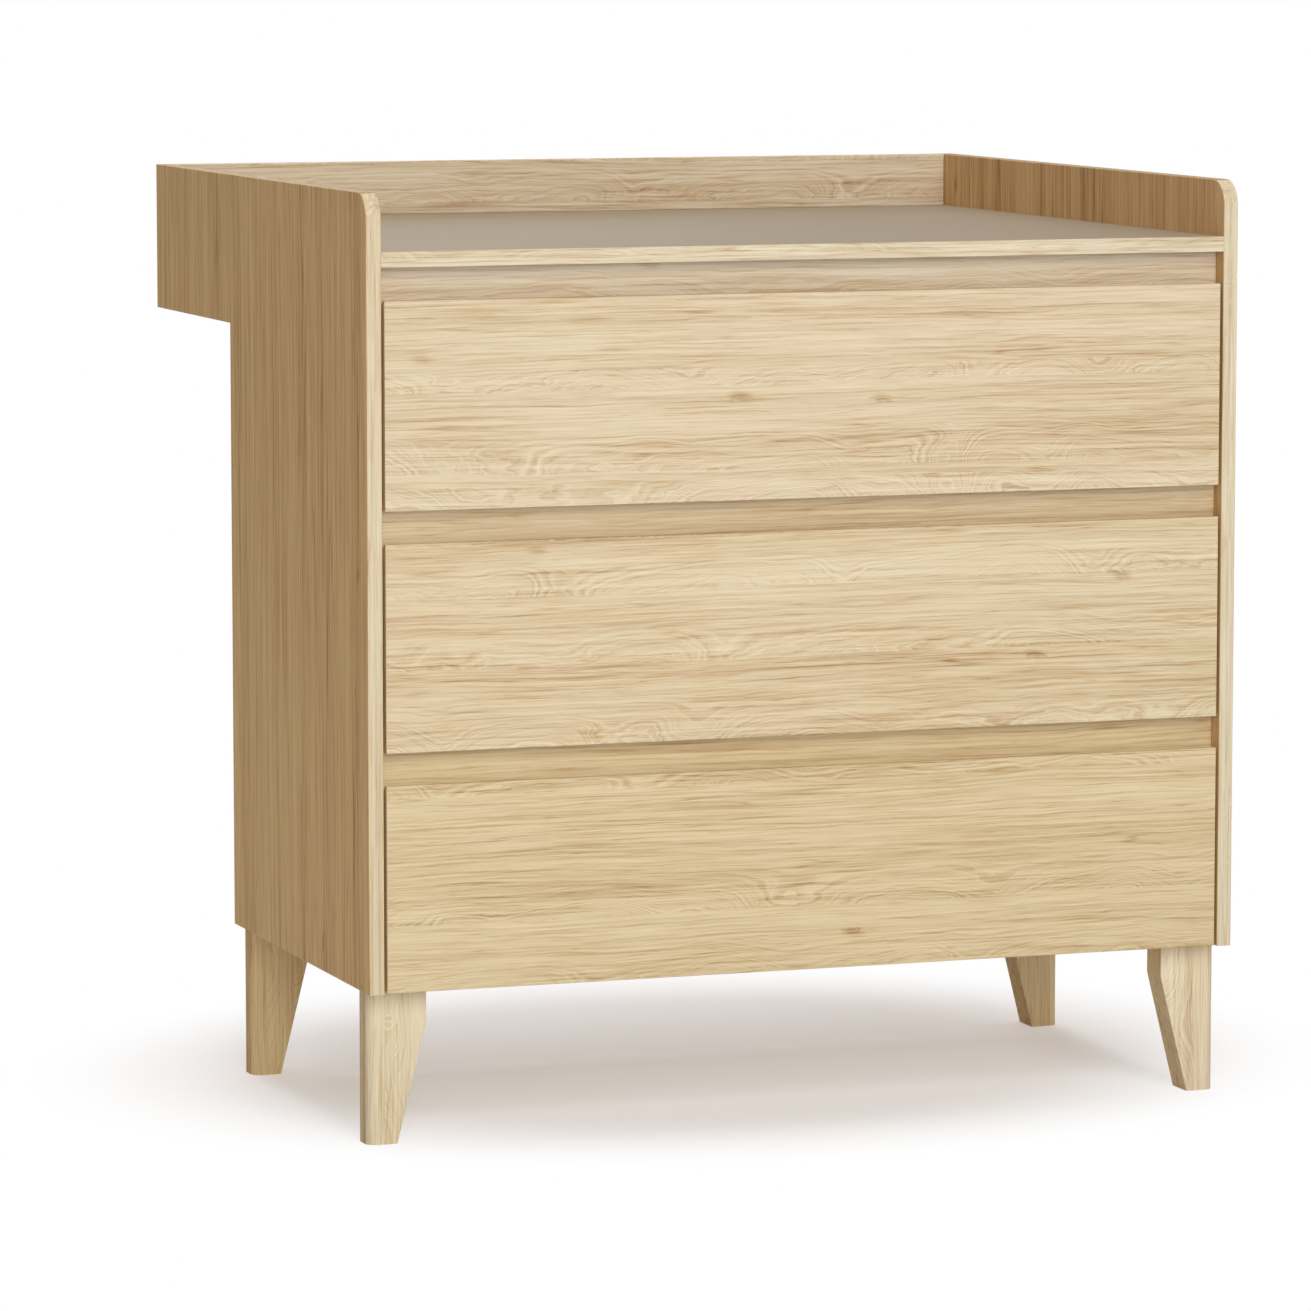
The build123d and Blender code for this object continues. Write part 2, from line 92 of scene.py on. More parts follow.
def power(name, description, default):
    return FloatProperty(name=name, description=description, default=default, min=0, unit="POWER")


class OakLook(PropertyGroup):
    pale: colour("Pale", "Lightest streaks of the oak", 244, 229, 204)
    fair: colour("Fair", "Usual tone of the oak", 231, 211, 182)
    tan: colour("Tan", "Darker growth rings", 212, 185, 150)
    deep: colour("Deep", "Eyes, pores and the darkest lines", 171, 136, 98)
    strip: length("Strip", "Usual width of one strip of a board", 0.064)
    ring: length("Ring", "Width of one growth ring across straight grain", 0.0022)
    flame_height: length("Flame height", "How far flames reach above their heart line", 0.03)
    flame_pull: amount("Flame pull", "Most rings that flamed grain is pulled along", 84.0)
    flame_rate: amount("Flame rate", "Turns of flamed grain in a metre", 6.5)
    roughness: share("Roughness", "Roughness of the matt oak", 0.55)


class PlainLook(PropertyGroup):
    laminate: colour("Laminate", "Greige changing surface", 153, 138, 117)
    drawer: colour("Drawer boards", "Off-white foil of the drawer boxes", 228, 224, 215)
    hardboard: colour("Hardboard", "Face of the thin panels", 196, 174, 141)
    beech: colour("Beech", "Bare dowels", 221, 193, 158)
    coat: colour("Runner coat", "Epoxy coat of the runners", 233, 231, 226)
    nylon: colour("Nylon", "Moulded rollers", 240, 238, 232)
    zinc: colour("Zinc", "Plate of the screws and cams", 205, 206, 208)


class StudioLook(PropertyGroup):
    floor: colour("Floor", "Pale floor", 236, 242, 252)
    floor_glow: colour(
        "Floor glow", "Light that only the camera and reflections see in the floor", 150, 143, 138
    )
    ambient: amount("Ambient", "Even light from all round", 0.185)
    fill: colour("Fill", "Warm cast of the even light", 255, 229, 200)
    key: power("Key", "Softbox in front", 142)
    overhead: power("Overhead", "Softbox above", 74)
    rear: power("Rear", "Softbox behind", 36)
    lens: FloatProperty(
        name="Lens", description="Focal length on a 36 mm sensor", default=176.779, unit="CAMERA"
    )


class ChangingTableLook(PropertyGroup):
    oak: PointerProperty(type=OakLook)
    plain: PointerProperty(type=PlainLook)
    studio: PointerProperty(type=StudioLook)


# Shader nodes

class Shade:
    """A socket of a node tree. Arithmetic on it adds Math nodes."""

    def __init__(self, tree, socket=None):
        self.tree = tree
        self.socket = socket

    def node(self, kind, settings, sockets, output=0):
        """Add a node: its settings first, then its sockets' values or links. Gives one output."""
        made = self.tree.nodes.new("ShaderNode" + kind)
        for name, value in settings.items():
            if name == "stops":
                set_stops(made.color_ramp, value)
            else:
                setattr(made, name, value)
        for name, value in sockets.items():
            if isinstance(value, Shade):
                self.tree.links.new(value.socket, made.inputs[name])
            else:
                made.inputs[name].default_value = value
        return Shade(self.tree, made.outputs[output] if made.outputs else None)

    def outputs(self):
        """Every output of the node that this socket belongs to."""
        return [Shade(self.tree, socket) for socket in self.socket.node.outputs]

    def math(self, operation, *others):
        return self.node("Math", {"operation": operation}, dict(enumerate((self, *others))))

    def __add__(self, other):
        return self.math("ADD", other)

    __radd__ = __add__

    def __sub__(self, other):
        return self.math("SUBTRACT", other)

    def __rsub__(self, other):
        return self.node("Math", {"operation": "SUBTRACT"}, {0: other, 1: self})

    def __mul__(self, other):
        return self.math("MULTIPLY", other)

    __rmul__ = __mul__

    def __truediv__(self, other):
        return self.math("DIVIDE", other)

    def __pow__(self, other):
        return self.math("POWER", other)

    def __abs__(self):
        return self.math("ABSOLUTE")

    def __gt__(self, other):
        return self.math("GREATER_THAN", other)

    def step(self, low, high):
        """Smooth step from 0 at low to 1 at high."""
        sockets = {"Value": self, "From Min": low, "From Max": high}
        return self.node("MapRange", {"interpolation_type": "SMOOTHSTEP"}, sockets)

    def scaled(self, scale, offset=(0, 0, 0)):
        """A vector times a scale, plus an offset."""
        sockets = {0: self, 1: scale, 2: offset}
        return self.node("VectorMath", {"operation": "MULTIPLY_ADD"}, sockets)

    def magnitude(self):
        """Length of this vector."""
        return self.node("VectorMath", {"operation": "LENGTH"}, {0: self}, "Value")

    def split(self, kind="XYZ"):
        """The three parts of a vector, or of a colour."""
        name = "Vector" if kind == "XYZ" else "Color"
        return self.node("Separate" + kind, {}, {name: self}).outputs()[:3]

    def noise(self, scale, seed, detail, roughness=0.5):
        """Noise about zero on this vector, stretched by a scale for each axis."""
        place = self.scaled(scale, (seed, 2 * seed, 3 * seed))
        sockets = {"Vector": place, "Scale": 1.0, "Detail": detail, "Roughness": roughness}
        return self.node("TexNoise", {"noise_dimensions": "3D"}, sockets) - 0.5

    def cells(self, randomness):
        """Colour and place of the random cell that this value lies in, along one axis."""
        sockets = {"W": self, "Scale": 1.0, "Randomness": randomness}
        found = self.node("TexVoronoi", {"voronoi_dimensions": "1D"}, sockets, "Color")
        place = next(output for output in found.outputs() if output.socket.name == "W")
        return found, place

    def ramp(self, stops):
        """Colour that this value picks from (position, colour) stops."""
        return self.node("ValToRGB", {"stops": stops}, {"Fac": self}, "Color")

    def times(self, cast):
        """This colour times another."""
        settings = {"data_type": "RGBA", "blend_type": "MULTIPLY"}
        return self.node("Mix", settings, {0: 1.0, 6: self, 7: cast}, 2)


def set_stops(ramp, stops):
    """Give a ramp its (position, colour) stops."""
    while len(ramp.elements) < len(stops):
        ramp.elements.new(1.0)
    for element, (position, shade) in zip(ramp.elements, stops):
        element.position = position
        element.color = (*shade, 1.0)


def joined(x, y, z):
    """One vector of three values."""
    return x.node("CombineXYZ", {}, {"X": x, "Y": y, "Z": z})


def new_material(name):
    """Empty material and the maker of its nodes."""
    material = bpy.data.materials.new(name)
    material.use_nodes = True
    material.node_tree.nodes.clear()
    return material, Shade(material.node_tree)


def close_material(start, height, strength, relief, **sockets):
    """Principled surface of a material, with a bump of some strength over a relief in metres."""
    bump = {"Height": height, "Strength": strength, "Distance": relief}
    sockets["Normal"] = start.node("Bump", {}, bump)
    named = {name.replace("_", " "): value for name, value in sockets.items()}
    surface = start.node("BsdfPrincipled", {}, named)
    start.node("OutputMaterial", {}, {"Surface": surface})


def paint(node, material):
    """Give a CAD node one material."""
    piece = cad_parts[node]
    if not piece.material_slots:
        piece.data.materials.append(material)
    for slot in piece.material_slots:
        slot.material = material


# Oak

UNCHANGED = (1, 1, 1)


class Cut(NamedTuple):
    """How one oak board is cut from the wood, and the painted light and shade on its colour.

    Grain names the axes along, across and through the board. Flame is the strength of its flamed
    grain, and streaks that of the fine streaks on its broad faces, which are reach times longer than
    usual. Face, edge and top tint its broad faces, its edges and an edge that looks up: painted light
    and shade, set for how the light falls on each board and facing. On the side panels the face tint
    is partly their own browner tone as well.
    """
    grain: str
    seed: float
    flame: float = 1.0
    streaks: float = 1.0
    reach: float = 1.0
    # Painted light and shade: tints of the broad faces, the edges and an edge that looks up
    face: tuple = UNCHANGED
    edge: tuple = UNCHANGED
    top: tuple = UNCHANGED


LEVEL = "XZY"
# Painted shade: the side panels' top edges are tinted darker, as the light falls past them
SIDE_GRAIN_AND_SHADE = dict(grain="ZYX", flame=0.0, streaks=1.8, reach=1.5, top=(0.5, 0.42, 0.33))
# Painted light and shade: the legs' fronts are tinted lighter and their narrow side faces darker
FRONT_LEG = dict(grain="ZXY", flame=1.2, streaks=0.7, face=(1.1, 1.15, 1.22), edge=(1.0, 0.94, 0.8))
REAR_LEG = dict(grain="ZXY", flame=1.2, streaks=0.7, edge=(0.95, 0.8, 0.58))

# Painted light and shade: each drawer front has its own tint, the lower fronts darker and warmer as
# less light reaches them
FRONTS = {
    "bottom_drawer_front": Cut(LEVEL, 22.7, face=(0.97, 0.97, 0.9)),
    "middle_drawer_front": Cut(LEVEL, 29.6, face=(0.985, 1.0, 0.99)),
    "top_drawer_front": Cut(LEVEL, 17.3, face=(0.98, 1.0, 1.02)),
}
# Painted shade: the rails sit back in the grip gaps under the fronts and are tinted darker
RAILS = {
    "bottom_grip_rail": Cut(LEVEL, 41.9, flame=0.5, face=(0.94, 0.92, 0.83)),
    "middle_grip_rail": Cut(LEVEL, 45.2, flame=0.5, face=(0.9, 0.9, 0.88)),
    "top_grip_rail": Cut(LEVEL, 48.5, flame=0.5, face=(0.92, 0.93, 1.02)),
}
# Painted light and shade: the guard's and band's faces are tinted lighter and cooler, and the guard's
# top edge darker, by how the light falls on them
GUARD_AND_BAND = {
    "rear_guard_board": Cut(
        LEVEL, 54.6, flame=0.9, streaks=1.1, face=(1.04, 1.08, 1.22), top=(0.65, 0.57, 0.49)
    ),
    "top_front_band": Cut(LEVEL, 55.1, flame=0.3, face=(1.02, 1.1, 1.2)),
}
# Partly own tone, partly painted shade: the side panels' faces are tinted browner than the fronts, the
# right panel's darker still as its inner face lies in shade; their edge tints are painted light and
# shade
SIDES = {
    "left_side_panel": Cut(
        seed=71.1, face=(0.97, 0.78, 0.52), edge=(0.95, 0.96, 0.98), **SIDE_GRAIN_AND_SHADE
    ),
    "right_side_panel": Cut(
        seed=83.85, face=(0.83, 0.67, 0.49), edge=(0.97, 1.02, 1.08), **SIDE_GRAIN_AND_SHADE
    ),
}
# Painted light and shade: the legs' faces are tinted lighter, the rear legs most as the lamps leave
# them in shade, and their narrow side faces darker
LEGS = {
    "front_left_leg": Cut(seed=105.7, **FRONT_LEG),
    "front_right_leg": Cut(seed=126.5, **FRONT_LEG),
    "rear_left_leg": Cut(seed=108.9, face=(1.14, 1.05, 0.88), **REAR_LEG),
    "rear_right_leg": Cut(seed=101.3, face=(1.25, 1.2, 1.1), **REAR_LEG),
}
CHEST_FLOOR = {"bottom_panel": Cut("XYZ", 121.3)}


class Noise(NamedTuple):
    """A noise in the wood: waves in a metre along and across the grain, a step of the seed, detail,
    and the share of the whole that it makes up."""
    along: float
    across: float
    step: float
    detail: float
    share: float = 1.0
    roughness: float = 0.5

    def on(self, wood, seed):
        scale = (self.along, self.across, self.across)
        return wood.noise(scale, seed + self.step, self.detail, self.roughness)


# Normals that part the end grain, the broad faces and an edge that looks up from the other edges.
# The broad faces, the other edges and an edge that looks up each get the board's painted light and
# shade
END_GRAIN, BROAD_FACE, TOP_EDGE = 0.7, 0.25, 0.97

# Bends of the grain, and how far each shifts the streaks and the rings, in metres
SWAY, RIPPLE, CRINKLE = Noise(1.7, 7, 0.0, 1.0), Noise(11, 45, 3.1, 2.0), Noise(26, 90, 10.3, 2.0)
STREAK_SHIFTS = (0.021, 0.004, 0.0008)
RING_SHIFTS = (0.021, 0.005, 0.0022)

# Strips: randomness of their widths, and place, lean and blur of the heart line in a strip
STRIP_RANDOMNESS = 0.7
HEART_PLACE, HEART_LEAN = 0.25, 0.2
HEART_BLUR, HEART_DEPTH = 0.0006, 0.012
STRIP_RINGS, HEART_RINGS = 61, 17

# Flames: turns across the grain, lean along it in metres, and which strips are figured
FLAME_ACROSS, FLAME_STEP = 6, 12.7
FLAME_DRAG, FLAME_LEAN, FLAME_DETAIL = 0.0, 0.16, 0.5
WAVER = Noise(31, 80, 15.1, 2.0, share=0.07)
FIGURED = (0.05, 0.5)

# Eyes: cells in a metre, how few cells hold one, its edge, and the rings it pushes aside
EYE_ALONG, EYE_SLANT, EYE_ACROSS, EYE_SPREAD = 13, 9, 30, 9
EYE_RARITY, EYE_EDGE, EYE_RINGS = 0.93, (0.03, 0.24), 2.5

RING_NOISE = {"Scale": 0.8, "Detail": 4.0, "Roughness": 0.6}
BANDS = Noise(1.1, 30, 1.7, 1.0, share=0.36)
STREAKS = Noise(4.2, 190, 5.3, 3.0, share=0.36)
THREADS = Noise(9, 400, 6.7, 2.0, share=0.42)
BREAKS, BREAK_EDGE = Noise(6, 20, 8.8, 1.0), (-0.05, 0.2)
LINES, LINE_WIDTH = Noise(3.1, 75, 4.4, 2.0, share=0.16), 0.03
STROKES, STROKE_WIDTH, STROKE_REST = Noise(2.6, 135, 16.6, 1.0, share=0.1), 0.05, 1.2
HAIRS = Noise(45, 2400, 18.2, 1.0, share=0.2)
FIBRES = Noise(16, 700, 7.9, 2.0, share=0.38, roughness=0.6)
PORES, PORE_EDGE = Noise(34, 800, 2.3, 1.0, share=0.14), (0.1, 0.28)
DRIFT, DRIFT_EDGE = Noise(0.9, 2.2, 9.1, 0.0), (-0.25, 0.25)

MIDDLE_TONE = 0.56
RING_SHARE, FLAME_SHARE, STRIP_SHARE, EYE_SHARE = 0.28, 0.36, 0.05, 0.22
TONE_STOPS = (0.16, 0.38, 0.56, 0.8)
RED_CAST, GREEN_CAST = srgb(253, 252, 244), srgb(251, 253, 243)
OAK_BUMP, OAK_RELIEF = 0.25, 0.0003
FIBRE_GLOSS, OAK_SHEEN = 0.16, 0.1


def board_axes(start, node, grain):
    """Places along, across and through a board's grain, and 1 on broad faces and where it looks up.

    On the end grain, along and across change places.
    """
    low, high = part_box(node)
    place = start.node("TexCoord", {}, {}, "Object").scaled((1, 1, 1), tuple((low + high) / -2))
    axes = dict(zip("XYZ", place.split()))
    facing = dict(zip("XYZ", start.node("TexCoord", {}, {}, "Normal").split()))
    along, across, depth = (axes[name] for name in grain)
    end = abs(facing[grain[0]]) > END_GRAIN
    broad = abs(facing[grain[2]]) > BROAD_FACE
    upward = facing["Z"] > TOP_EDGE
    along, across = along + end * (across - along), across + end * (along - across)
    return along, across, depth, broad, upward


def oak_eyes(along, bent, tint):
    """Eyes of an oak board: 1 in the middle of a few random cells, 0 elsewhere."""
    place = joined(along * EYE_ALONG + bent * EYE_SLANT, bent * EYE_ACROSS, tint * EYE_SPREAD)
    sockets = {"Vector": place, "Scale": 1.0, "Randomness": 1.0}
    cell = place.node("TexVoronoi", {"voronoi_dimensions": "3D"}, sockets)
    chosen = cell.outputs()[1].split("Color")[0] > EYE_RARITY
    return (1 - cell.step(*EYE_EDGE)) * chosen


def oak_rings(wood, along, across, depth, bent, look, cut):
    """Growth rings of an oak board, with the share of flames, the eyes and a tint for each strip.

    The board is laid up from strips of random width. In a strip, rings follow the distance to a heart
    line: ring = sqrt(offset^2 + depth^2) / ring width. Close above the heart line they are pulled along
    by exp(-(offset / flame height)^2) times a noise, which bends them down into it as flames. The noise
    is dragged along the grain by itself, so that flames lean. Below the heart line rings run straight.
    """
    strip, strip_place = (across / look.strip + cut.seed).cells(STRIP_RANDOMNESS)
    lean, figure, tint = strip.split("Color")
    heart = bent - (strip_place - cut.seed - HEART_PLACE + HEART_LEAN * lean) * look.strip
    above = heart.step(-HEART_BLUR, HEART_BLUR)
    near = (-1 * (heart / look.flame_height) ** 2).math("EXPONENT") * above
    drag = Noise(look.flame_rate, FLAME_ACROSS, FLAME_STEP, FLAME_DRAG).on(wood, cut.seed)
    dragged = joined(along + drag * FLAME_LEAN, across, depth)
    pull = Noise(look.flame_rate, FLAME_ACROSS, FLAME_STEP, FLAME_DETAIL).on(dragged, cut.seed)
    pull = pull + WAVER.on(wood, cut.seed) * WAVER.share
    flamed = near * figure.step(*FIGURED) * cut.flame
    flames = flamed * pull * look.flame_pull
    eye = oak_eyes(along, bent, tint)
    radius = (heart ** 2 + (depth + HEART_DEPTH) ** 2) ** 0.5
    ring = radius / look.ring + flames + eye * EYE_RINGS + tint * STRIP_RINGS - above * HEART_RINGS
    rings = ring.node("TexNoise", {"noise_dimensions": "1D"}, {"W": ring, **RING_NOISE}) - 0.5
    return rings, flamed, eye, tint


def oak(node, look, cut):
    """Oak of one board. Its rings, flames and eyes, and its bands, streaks, threads, fibres, hairs,
    strokes, pores and lines add up to one tone, which picks the colour. A random cast then tints the
    colour, and last the painted light and shade of each facing of the board."""
    material, start = new_material(f"oak_{node}")
    along, across, depth, broad, upward = board_axes(start, node, cut.grain)
    wood = joined(along, across, depth)
    sway, ripple, crinkle = (bend.on(wood, cut.seed) for bend in (SWAY, RIPPLE, CRINKLE))
    calm, bent = (
        across + sway * shifts[0] + ripple * shifts[1] + crinkle * shifts[2]
        for shifts in (STREAK_SHIFTS, RING_SHIFTS)
    )
    rings, flamed, eye, tint = oak_rings(wood, along, across, depth, bent, look, cut)

    grainy = joined(along * (1 / cut.reach), calm, depth)
    layers = (BANDS, STREAKS, THREADS, HAIRS, FIBRES)
    bands, streaks, threads, hairs, fibres = (layer.on(grainy, cut.seed) for layer in layers)
    broken = BREAKS.on(grainy, cut.seed).step(*BREAK_EDGE)
    lines = (1 - abs(LINES.on(grainy, cut.seed)).step(0.0, LINE_WIDTH)) * broken
    strokes = 1 - abs(STROKES.on(grainy, cut.seed)).step(0.0, STROKE_WIDTH)
    strokes = strokes * (STROKE_REST - broken)
    pores = PORES.on(grainy, cut.seed).step(*PORE_EDGE)
    fine = 1 + (cut.streaks - 1) * broad
    tone = (
        MIDDLE_TONE + rings * (RING_SHARE + FLAME_SHARE * flamed) + bands * BANDS.share
        + (streaks * STREAKS.share + threads * THREADS.share) * fine
        + fibres * FIBRES.share + hairs * HAIRS.share + (tint - 0.5) * STRIP_SHARE
        - eye * EYE_SHARE - strokes * STROKES.share
        - (pores * PORES.share + lines * LINES.share) * fine
    )

    base = tone.ramp(list(zip(TONE_STOPS, (look.deep, look.tan, look.fair, look.pale))))
    drift = DRIFT.on(wood, cut.seed).step(*DRIFT_EDGE)
    # Painted light and shade: side is 0 on edges, 0.5 on broad faces and 1 on an edge that looks up,
    # and picks the board's tint for that facing
    side = broad * 0.5 + upward * (1 - broad)
    base = base.times(drift.ramp([(0, RED_CAST), (1, GREEN_CAST)]))
    base = base.times(side.ramp([(0, cut.edge), (0.5, cut.face), (1, cut.top)]))
    close_material(
        start, tone + fibres, OAK_BUMP, OAK_RELIEF, Base_Color=base,
        Roughness=look.roughness - FIBRE_GLOSS * fibres, Specular_IOR_Level=OAK_SHEEN,
    )
    return material


def lay_oak(boards, context):
    """Give each board its own oak."""
    for node, cut in boards.items():
        paint(node, oak(node, context.scene.changing_table.oak, cut))


# Other finishes

class Finish(NamedTuple):
    """Mottling of a plain finish: specks in a metre, contrast, roughness, relief in metres, sheen."""
    rate: float
    contrast: float
    roughness: float
    relief: float
    sheen: float = 0.5


LAMINATE = Finish(700, 0.04, 0.55, 0.00004, 0.05)
FOIL = Finish(420, 0.03, 0.5, 0.00006)
HARDBOARD = Finish(260, 0.12, 0.62, 0.0001)
COAT = Finish(900, 0.03, 0.3, 0.00008)
NYLON = Finish(300, 0.02, 0.4, 0.00003)
BEECH = Finish(500, 0.1, 0.6, 0.0001)
CLOUD_RATE, CLOUD_SEED, CLOUD_SHARE = 5, 1.3, 0.5
SPECK_SEED, SPECK_ROUGHNESS, SPECK_GLOSS = 4.7, 0.65, 0.2
MOTTLE_DETAIL, MOTTLE_BUMP = 2.0, 0.3
MOTTLE_STOPS = (0.25, 0.75)

PLATE_ROUGHNESS, CASTING_ROUGHNESS = 0.3, 0.42
SPANGLE_RATE, SPANGLE_DARK, SPANGLE_GLOSS = 900.0, 0.8, 0.15
SPANGLE_BUMP, SPANGLE_RELIEF = 0.1, 0.0001


def plain_finish(name, base, finish):
    """Foil, laminate, hardboard, coat or nylon: a colour with clouds and fine specks."""
    material, start = new_material(name)
    place = start.node("TexCoord", {}, {}, "Object")
    cloud = place.noise((CLOUD_RATE,) * 3, CLOUD_SEED, MOTTLE_DETAIL)
    speck = place.noise((finish.rate,) * 3, SPECK_SEED, MOTTLE_DETAIL, SPECK_ROUGHNESS)
    tone = cloud * CLOUD_SHARE + speck
    darker = tuple(level * (1 - finish.contrast) for level in base)
    lighter = tuple(min(level * (1 + finish.contrast), 1) for level in base)
    close_material(
        start, speck, MOTTLE_BUMP, finish.relief,
        Base_Color=(tone + 0.5).ramp(list(zip(MOTTLE_STOPS, (darker, lighter)))),
        Roughness=finish.roughness + speck * SPECK_GLOSS, Specular_IOR_Level=finish.sheen,
    )
    return material


def metal(name, base, roughness):
    """Zinc plate: faint spangle in colour and roughness."""
    material, start = new_material(name)
    sockets = {"Vector": start.node("TexCoord", {}, {}, "Object"), "Scale": SPANGLE_RATE}
    cell = start.node("TexVoronoi", {"voronoi_dimensions": "3D"}, sockets, "Color")
    spangle = cell.split("Color")[0]
    darker = tuple(SPANGLE_DARK * level for level in base)
    close_material(
        start, spangle, SPANGLE_BUMP, SPANGLE_RELIEF, Base_Color=spangle.ramp([(0, darker), (1, base)]),
        Metallic=1.0, Roughness=roughness + spangle * SPANGLE_GLOSS,
    )
    return material


# Turned fittings: a shape is a grid of radii and depths, and the depths of its two poles

COLUMNS = 32
GOLDEN_TURN = 2.399963
SMOOTH_BELOW = radians(32)
ROWS_PER_TURN = 6
SAME_PLACE_DIGITS = 6
END_SHARE = 0.1
LENGTH_STEPS = 10000

THREAD_ROOT = 0.72
TOOTH_PEAK, TOOTH_SLOPE = 1.6, 3.2
CROSS_CORE, CROSS_ARM, CROSS_POWER = 0.22, 0.42, 8
CROSS_DEPTH = 0.42
CROSS_RINGS = (0.02, 0.7)
HEAD_RINGS = (0.0, 0.35, 0.7, 1.0)
DOME_POWER = 3
SCREW_TIP, SCREW_TIP_SHARE = 0.003, 0.04
RUNNER_SCREW = dict(head=0.0032, shank=0.00175, length=0.0144, pitch=0.0016, dome=0.0014)
BACK_SCREW = dict(head=0.004, shank=0.002, length=0.04, pitch=0.002)
LEG_SCREW = dict(head=0.006, shank=0.003, length=0.06, pitch=0.0026)

PIN_LENGTH, PIN_SHANK, PIN_GROOVE = 0.02, 0.0008, 0.0007
PIN_HEAD = ((0.0, 0.0003), (0.0, 0.0021), (0.0002, 0.0023), (0.0004, 0.002), (0.0016, PIN_SHANK))
PIN_GROOVES, PIN_GROOVE_EDGE = (0.0028, 0.0038, 0.0048), 0.0002
PIN_POINT = ((0.017, PIN_SHANK), (0.0199, 0.00005))

FLUTES, FLUTE_COLUMNS, FLUTE_DEPTH = 18, 72, 0.07
DOWEL_BEVEL, DOWEL_END = 0.2, 0.78
DOWEL_LENGTH, CHEST_DOWEL, DRAWER_DOWEL = 0.03, 0.004, 0.003

BOLT_HEAD, BOLT_NECK, BOLT_SHAFT, BOLT_GRIP = 0.0034, 0.00204, 0.003, 0.0024
BOLT_CAP = ((0.0, 0.7), (0.0003, 0.9), (0.001, 1.0), (0.0028, 1.0), (0.0037, 0.85))
BOLT_NECK_ENDS, BOLT_SHAFT_ENDS = (0.004, 0.0072), (0.008, 0.033)
BOLT_LENGTH, BOLT_PITCH, BOLT_END = 0.044, 0.0032, 0.0002
BOLT_TIP, BOLT_TIP_SHARE = 0.0016, 0.5


def angles(columns=COLUMNS):
    return np.linspace(0, 2 * np.pi, columns, endpoint=False)


def around(values, columns=COLUMNS):
    """Each value repeated round its row."""
    return np.repeat(np.array(values)[:, None], columns, axis=1)


def thread(rows, shank, pitch):
    """Radius of a thread: r = shank (root + (1 - root) tooth(z / pitch - a / 2 pi)).

    The tooth is clip(peak - slope |turn - 1/2|, 0, 1).
    """
    turn = (rows[:, None] / pitch - angles() / (2 * np.pi)) % 1
    tooth = np.clip(TOOTH_PEAK - TOOTH_SLOPE * abs(turn - 0.5), 0, 1)
    return shank * (THREAD_ROOT + (1 - THREAD_ROOT) * tooth)


def screw(head, shank, length, pitch, dome=0.0):
    """Shape of a cross-headed screw.

    The recess follows a star, head (core + arm cos(2a)^8), and the head outside it blends from the
    star to the rim. A domed head drops by dome (r / head)^3 towards its rim. A screw without a dome has
    a countersunk head. The thread shrinks to the tip.
    """
    star = head * (CROSS_CORE + CROSS_ARM * np.cos(2 * angles()) ** CROSS_POWER)
    recess = np.array(CROSS_RINGS)[:, None] * star
    depth = CROSS_DEPTH * head
    face = star + (head - star) * np.array(HEAD_RINGS)[:, None]
    seat = dome if dome else head - shank
    body = np.arange(seat + pitch / 2, length - pitch / 4, pitch / ROWS_PER_TURN)
    point = np.clip((length - body) / SCREW_TIP, SCREW_TIP_SHARE, 1)[:, None]
    radii = np.vstack([recess, face, around([shank]), thread(body, shank, pitch) * point])
    face_depth = dome * (face / head) ** DOME_POWER
    depths = np.vstack([np.full_like(recess, depth), face_depth, around([seat, *body])])
    return radii, depths, depth, length


def pin():
    """Shape of a panel pin: bevelled flat head, three ring grooves under it and a point."""
    edge = PIN_GROOVE_EDGE
    groove = ((-edge, PIN_SHANK), (0.0, PIN_GROOVE), (edge, PIN_SHANK))
    grooves = [(place + step, radius) for place in PIN_GROOVES for step, radius in groove]
    depths, radii = zip(*PIN_HEAD, *grooves, *PIN_POINT)
    return around(radii), around(depths), 0.0, PIN_LENGTH


def dowel(radius, length):
    """Shape of a fluted dowel with bevelled ends: r = radius (1 - depth cos^2(flutes a / 2))."""
    bevel = DOWEL_BEVEL * radius
    ends = np.array([DOWEL_END, 1.0, 1.0, DOWEL_END]) * radius
    flute = 1 - FLUTE_DEPTH * np.cos(FLUTES * angles(FLUTE_COLUMNS) / 2) ** 2
    depths = around([0, bevel, length - bevel, length], FLUTE_COLUMNS)
    return ends[:, None] * flute, depths, 0.0, length


def cam_bolt():
    """Shape of a cam bolt from its rounded head down a neck and a shaft to a coarse thread."""
    cap = [(depth, part * BOLT_HEAD) for depth, part in BOLT_CAP]
    neck = [(depth, BOLT_NECK) for depth in BOLT_NECK_ENDS]
    shaft = [(depth, BOLT_SHAFT) for depth in BOLT_SHAFT_ENDS]
    shoulder = (BOLT_SHAFT_ENDS[1], BOLT_NECK)
    depths, radii = zip(*cap, *neck, *shaft, shoulder)
    body = np.arange(BOLT_SHAFT_ENDS[1], BOLT_LENGTH - BOLT_END, BOLT_PITCH / ROWS_PER_TURN)
    point = np.clip((BOLT_LENGTH - body) / BOLT_TIP, BOLT_TIP_SHARE, 1)[:, None]
    rows = np.vstack([around(radii), thread(body, BOLT_GRIP, BOLT_PITCH) * point])
    return rows, around([*depths, *body]), 0.0, BOLT_LENGTH


